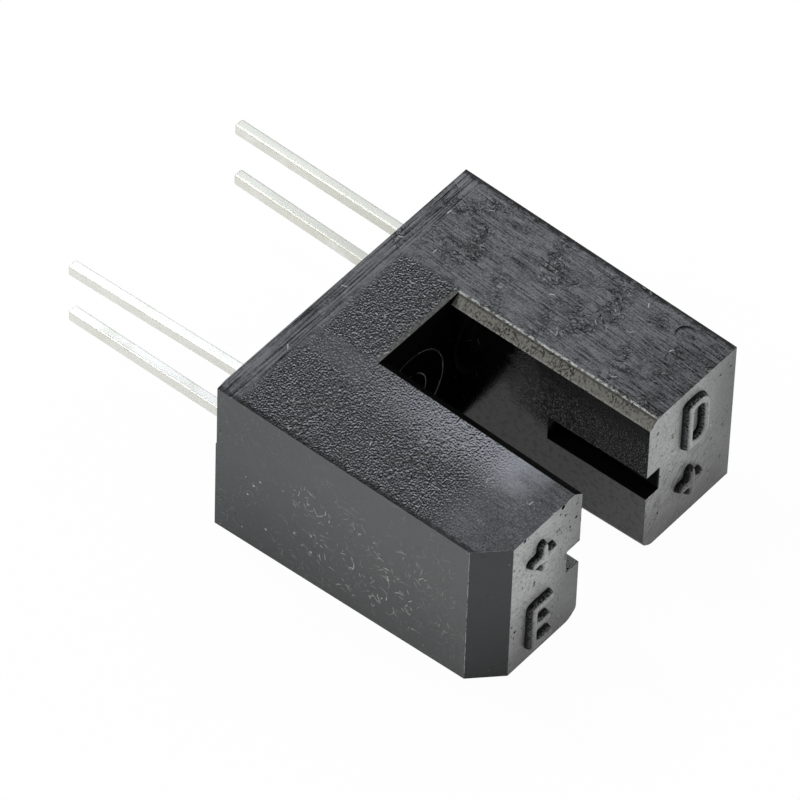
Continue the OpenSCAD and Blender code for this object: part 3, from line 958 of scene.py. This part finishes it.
def tinned_metal(colours):
    """Bright tin plate with drawn lines and a faint yellowish film, stronger on the detector's leads, and
    painted shade on the detector leads' tops and the emitter leads' sides.
    """
    mix = Recipe("tinned_metal")
    drawn = mix.noise(1.0, detail=3.0, stretch=(10.0, 0.4, 10.0))
    far_side = mix.x.step(-1.0, 1.0)
    top = mix.normal[Z].step(0.4, 0.9)
    film = mix.noise(0.9, detail=3.0) + far_side * 0.2
    dull = mix.y.step(5.2, 2.4)
    speckle = mix.noise(9.0, detail=3.0)
    worn = drawn.step(0.5, 0.3) * 0.25 + speckle.step(0.5, 0.35) * dull * 0.3
    base = mix.blend(film.step(0.4, 0.75), colours.tin, colours.tin_stain)
    base = mix.blend(worn, base, colours.tin_stain)
    # Painted shade: darker tops on the detector's leads and darker sides on the emitter's leads
    base = mix.blend(far_side * top, base, scaled(colours.tin_stain, 0.85))
    base = mix.blend((1 - far_side) * (1 - top) * 0.5, base, colours.tin_stain)
    rough = drawn.between(0.4, 0.46) + dull * 0.05
    mix.surface({"Base Color": base, "Metallic": 1.0, "Roughness": rough})
    mix.bump(drawn * 0.5 + speckle * dull.between(0.15, 0.8), 0.004)
    return mix.material


def epoxy(name, tint, clear):
    """Moulded epoxy, clear for the emitter and dark for the detector."""
    mix = Recipe(name)
    cloud = mix.noise(1.2, detail=3.0)
    base = mix.blend(cloud, tint, scaled(tint, 0.85))
    rough = cloud.between(0.08, 0.18)
    mix.surface({"Base Color": base, "Roughness": rough, "IOR": 1.54, "Transmission Weight": clear})
    mix.bump(mix.noise(6.0), 0.004)
    return mix.material


def plain_metal(name, tint, metallic, rough):
    """Chips and bond wires: polished, with a faint mottle."""
    mix = Recipe(name)
    mottle = mix.noise(18.0)
    base = mix.blend(mottle, tint, scaled(tint, 0.7))
    uneven = mottle.between(rough, rough + 0.12)
    mix.surface({"Base Color": base, "Roughness": uneven, "Metallic": metallic})
    return mix.material


def paint_housing(shell, sizes, colours):
    """Gives each face of the housing the finish of its place."""
    low, high = bench_box("housing")
    floor = low.y + sizes.slot_depth
    half = sizes.slot_width / 2
    wall_end = half + sizes.inner_wall
    chamfer_edge = half + sizes.slot_depth * math.tan(sizes.slot_draft) + sizes.chamfer_width
    # Least height of the broad faces, and the parts of a normal that tell the tips and the chamfers
    broad_face = high.z - 0.4
    tipward = 0.6
    least_slope = 0.3
    most_slope = 0.98
    finishes = [grained_plastic, smooth_plastic, tip_plastic, slot_plastic, rubbed_sheen_plastic]
    grained, smooth, tip, slot, rubbed = range(len(finishes))
    for finish in finishes:
        shell.data.materials.append(finish(colours))
    for face in shell.data.polygons:
        normal = face.normal
        place = face.center
        in_slot = abs(place.x) < wall_end and place.y < floor + sizes.edge_radius
        by_slot = in_slot and abs(place.x) < chamfer_edge + sizes.edge_radius
        sloped = least_slope < abs(normal.z) < most_slope and abs(normal.y) < tipward
        if place.y < low.y + sizes.edge_radius and (normal.y < -tipward or place.y < low.y):
            face.material_index = tip
        elif by_slot and sloped:
            face.material_index = rubbed if place.x > 0 else slot
        elif abs(normal.z) > SQUARE and abs(place.z) > broad_face:
            face.material_index = grained
        elif in_slot:
            face.material_index = slot
        else:
            face.material_index = smooth


def model_lead(name, node, sizes, toe_in):
    """Models one stamped lead: pad in the package, riser, and leg that leans to its rounded tip."""
    low, high = bench_box(node)
    side = EMITTER_SIDE if high.x < 0 else DETECTOR_SIDE
    row = UPPER if high.z > -low.z else LOWER
    package = bench_box("emitter_package" if side == EMITTER_SIDE else "detector_package")
    half_t = sizes.thickness / 2
    half_w = sizes.width / 2
    base = package[1].y
    leg = high.y - base
    near_x = min(abs(low.x), abs(high.x)) + half_t
    far_x = max(abs(low.x), abs(high.x)) - half_t
    root_z = max(abs(low.z), abs(high.z)) - half_w
    pad_edge = low.z if row == UPPER else high.z
    x0, x1 = span(side, near_x - half_t, near_x + half_t)
    z0, z1 = span(row, root_z - half_w, root_z + half_w)
    lead = add_block(name, (x0, base, z0), (x1, high.y, z1))
    lean = (side * (far_x - near_x), 0, -row * leg * math.tan(toe_in))
    pad_low = low.y
    pad_high = pad_low + 2 * sizes.pad_half
    with editing(lead):
        shift(lead, lambda v: v.co.y > base + leg / 2, lean)
        choose(lead, "FACE", lambda f: f.normal.y > SQUARE)
        bpy.ops.mesh.bevel(offset=sizes.tip_radius, segments=3, affect="EDGES")
        for stop, start in ((pad_high, base), (pad_low, pad_high)):
            choose(lead, "FACE", lambda f: f.normal.y < -SQUARE and f.calc_center_median().y < base + half_w)
            extrude((0, stop - start, 0))
        choose(lead, "FACE", lambda f: f.normal.z * row < -SQUARE and f.calc_center_median().y < pad_high)
        inner_edge = row * (root_z - half_w)
        extrude((0, 0, pad_edge - inner_edge))
    round_edges(lead, sizes.edge_radius, least_turn=40)
    return lead


def cut_cup(lead, sizes):
    """Cuts the cup for the emitter's chip."""
    pad_face = bench_box("emitter_cathode_lead")[1].x
    chip = bench_box("emitter_chip")
    centre = (chip[0] + chip[1]) / 2
    deselect()
    bpy.ops.mesh.primitive_cone_add(
        vertices=48,
        radius1=sizes.cup_floor,
        radius2=sizes.cup_rim,
        depth=sizes.cup_depth,
        location=(pad_face - sizes.cup_depth / 2, centre.y, centre.z),
        rotation=(0, QUARTER_TURN, 0),
    )
    combine(lead, settle(), "DIFFERENCE")


def look_along(settings):
    """Turn of the camera from its heading, rise and roll."""
    turn = settings.camera_turn
    rise = settings.camera_rise
    forward = -Vector((math.sin(turn) * math.cos(rise), -math.cos(turn) * math.cos(rise), math.sin(rise)))
    level_right = Vector((math.cos(turn), math.sin(turn), 0))
    down = forward.cross(level_right)
    right = math.cos(settings.camera_roll) * level_right + math.sin(settings.camera_roll) * down
    up = right.cross(forward)
    return Matrix((right, up, -forward)).transposed()


def add_light_box(name, direction, distance, size, radiance, tint):
    """Adds a square light box that faces the switch, with its distance and size in millimetres."""
    target = Vector((0, -5 * MM, 0))
    place = Vector(direction).normalized() * distance * MM + target
    deselect()
    bpy.ops.object.light_add(type="AREA", location=place)
    lamp = bpy.context.object
    lamp.name = name
    lamp.rotation_euler = Vector(direction).to_track_quat("Z", "Y").to_euler()
    lamp.data.shape = "SQUARE"
    lamp.data.size = size * MM
    lamp.data.energy = radiance * math.pi * (size * MM) ** 2
    lamp.data.color = tint


def paint_ground(floor, colours):
    """Pale ground that is seen white and keeps a faint shadow."""
    material = bpy.data.materials.new("pale_ground")
    material.use_nodes = True
    nodes = Nodes(material.node_tree)
    nodes.tree.nodes.clear()
    share = nodes.ray("Camera") * 0.97 + nodes.ray("Glossy") * 0.4 + nodes.ray("Transmission") * 0.4
    plain = nodes.add("BsdfDiffuse", {"Color": (*colours.ground, 1)})[0]
    glow = nodes.add("Emission", {})[0]
    mixed = nodes.add("MixShader", {0: share, 1: plain, 2: glow})[0]
    nodes.add("OutputMaterial", {"Surface": mixed})
    floor.data.materials.append(material)


def light_world(ambient, ceiling):
    """World that is seen white, with a dim ceiling in reflections, and lights the switch at a plain level."""
    world = bpy.data.worlds.new("studio")
    world.use_nodes = True
    nodes = Nodes(world.node_tree)
    heading = nodes.add("TexCoord", {})["Object"]
    height = nodes.fields("SeparateXYZ", {"Vector": heading})[Z]
    reflected = height.step(0.15, 0.45).between(1.0, ceiling)
    strength = ambient
    for kind, light in {"Glossy": reflected, "Transmission": reflected, "Camera": 1.0}.items():
        strength = nodes.fields("Mix", {"Factor": nodes.ray(kind), "A": strength, "B": light})[0]
    background = nodes.tree.nodes["Background"]
    nodes.feed(background.inputs["Color"], (1, 1, 1, 1))
    nodes.feed(background.inputs["Strength"], strength)
    bpy.context.scene.world = world


class HousingOperator(bpy.types.Operator):
    """Models the moulded housing with its slot, apertures, pockets and raised signs"""

    bl_idname = "optical_switch.housing"
    bl_label = "Moulded housing"

    def execute(self, context):
        sizes = at_bench_scale(context.scene.switch_housing)
        signs = at_bench_scale(context.scene.switch_signs)
        shell = model_outer_form(sizes)
        cut_slot(shell, sizes)
        cut_apertures(shell, sizes)
        cut_pocket(shell, sizes, "emitter_package", EMITTER_SIDE)
        cut_pocket(shell, sizes, "detector_package", DETECTOR_SIDE)
        cut_gate_relief(shell, sizes)
        add_mould_marks(shell, sizes, signs)
        add_signs(shell, signs)
        clean(shell)
        paint_housing(shell, sizes, context.scene.switch_finishes)
        hand_over(shell, "housing")
        return {"FINISHED"}


class LeadsOperator(bpy.types.Operator):
    """Models the four tinned leads"""

    bl_idname = "optical_switch.leads"
    bl_label = "Tinned leads"

    def execute(self, context):
        sizes = at_bench_scale(context.scene.switch_leads)
        tin = tinned_metal(context.scene.switch_finishes)
        nodes = {
            "emitter_cathode_lead": sizes.emitter_toe_in,
            "emitter_anode_lead": sizes.emitter_toe_in,
            "detector_collector_lead": sizes.detector_toe_in,
            "detector_emitter_lead": sizes.detector_toe_in,
        }
        for node, toe_in in nodes.items():
            lead = model_lead(node + "_tinned", node, sizes, toe_in)
            if node == "emitter_cathode_lead":
                cut_cup(lead, sizes)
            clean(lead)
            lead.data.materials.append(tin)
            hand_over(lead, node)
        return {"FINISHED"}


class InnerPartsOperator(bpy.types.Operator):
    """Gives the packages, chips and bond wires their finishes"""

    bl_idname = "optical_switch.inner_parts"
    bl_label = "Packages, chips and wires"

    def execute(self, context):
        colours = context.scene.switch_finishes
        chip = plain_metal("polished_chip", colours.chip, metallic=0.3, rough=0.2)
        wire = plain_metal("gold_wire", colours.gold, metallic=1.0, rough=0.25)
        finishes = {
            "emitter_package": epoxy("clear_epoxy", colours.clear_epoxy, clear=0.9),
            "detector_package": epoxy("dark_epoxy", colours.dark_epoxy, clear=0.1),
            "emitter_chip": chip,
            "detector_chip": chip,
            "emitter_bond_wire": wire,
            "detector_bond_wire": wire,
        }
        for node, material in finishes.items():
            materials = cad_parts[node].data.materials
            materials.clear()
            materials.append(material)
        return {"FINISHED"}


class StageOperator(bpy.types.Operator):
    """Sets the ground, the light and the camera"""

    bl_idname = "optical_switch.stage"
    bl_label = "Ground, light and camera"

    def execute(self, context):
        scene = context.scene
        settings = scene.switch_stage
        draft = scene.switch_housing.face_draft
        low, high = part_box("housing")
        deselect()
        bpy.ops.mesh.primitive_plane_add(
            size=settings.ground_size, location=(0, high.y, low.z - GROUND_GAP * MM), rotation=(-draft, 0, 0)
        )
        floor = bpy.context.object
        floor.name = "ground"
        paint_ground(floor, scene.switch_finishes)
        light_world(settings.ambient, settings.ceiling)
        add_light_box(
            "overhead_box", direction=(0.52, 0.40, 0.755), distance=140, size=80,
            radiance=settings.overhead, tint=(0.9, 0.94, 1.0),
        )
        add_light_box(
            "rear_box", direction=(0.0, 0.65, 0.76), distance=170, size=35,
            radiance=settings.rear, tint=(0.92, 0.95, 1.0),
        )
        add_light_box(
            "key_box", direction=(-0.5, 0.5, 0.71), distance=170, size=60,
            radiance=settings.key, tint=(1.0, 0.97, 0.92),
        )
        add_light_box(
            "front_box", direction=(0.75, -0.62, 0.25), distance=150, size=90,
            radiance=settings.front, tint=(1.0, 1.0, 0.98),
        )
        deselect()
        bpy.ops.object.camera_add(location=settings.camera_place)
        camera = bpy.context.object
        camera.rotation_euler = look_along(settings).to_euler()
        camera.data.sensor_width = SENSOR_WIDTH
        camera.data.lens = settings.lens
        camera.data.clip_start = 10 * MM
        scene.camera = camera
        scene.view_settings.view_transform = "Standard"
        return {"FINISHED"}


class SwitchPanel(bpy.types.Panel):
    """Lists the steps that make the switch"""

    bl_idname = "OPTICAL_SWITCH_PT_steps"
    bl_label = "Optical switch"
    bl_space_type = "VIEW_3D"
    bl_region_type = "UI"
    bl_category = "Optical switch"

    def draw(self, context):
        for step in OPERATORS:
            self.layout.operator(step.bl_idname)
        for group in GROUPS:
            settings = getattr(context.scene, group)
            box = self.layout.box()
            box.label(text=type(settings).__doc__)
            for prop in type(settings).__annotations__:
                box.prop(settings, prop)


GROUPS = {
    "switch_housing": HousingSizes,
    "switch_signs": SignSizes,
    "switch_leads": LeadSizes,
    "switch_finishes": Finishes,
    "switch_stage": StageSettings,
}
OPERATORS = (HousingOperator, LeadsOperator, InnerPartsOperator, StageOperator)


def register():
    for group in GROUPS.values():
        bpy.utils.register_class(group)
    for step in OPERATORS:
        bpy.utils.register_class(step)
    bpy.utils.register_class(SwitchPanel)
    for name, group in GROUPS.items():
        setattr(bpy.types.Scene, name, bpy.props.PointerProperty(type=group))


def unregister():
    for name in GROUPS:
        delattr(bpy.types.Scene, name)
    bpy.utils.unregister_class(SwitchPanel)
    for step in OPERATORS:
        bpy.utils.unregister_class(step)
    for group in GROUPS.values():
        bpy.utils.unregister_class(group)


def main():
    register()
    bpy.ops.optical_switch.housing()
    bpy.ops.optical_switch.leads()
    bpy.ops.optical_switch.inner_parts()
    bpy.ops.optical_switch.stage()


if __name__ == "__main__":
    main()
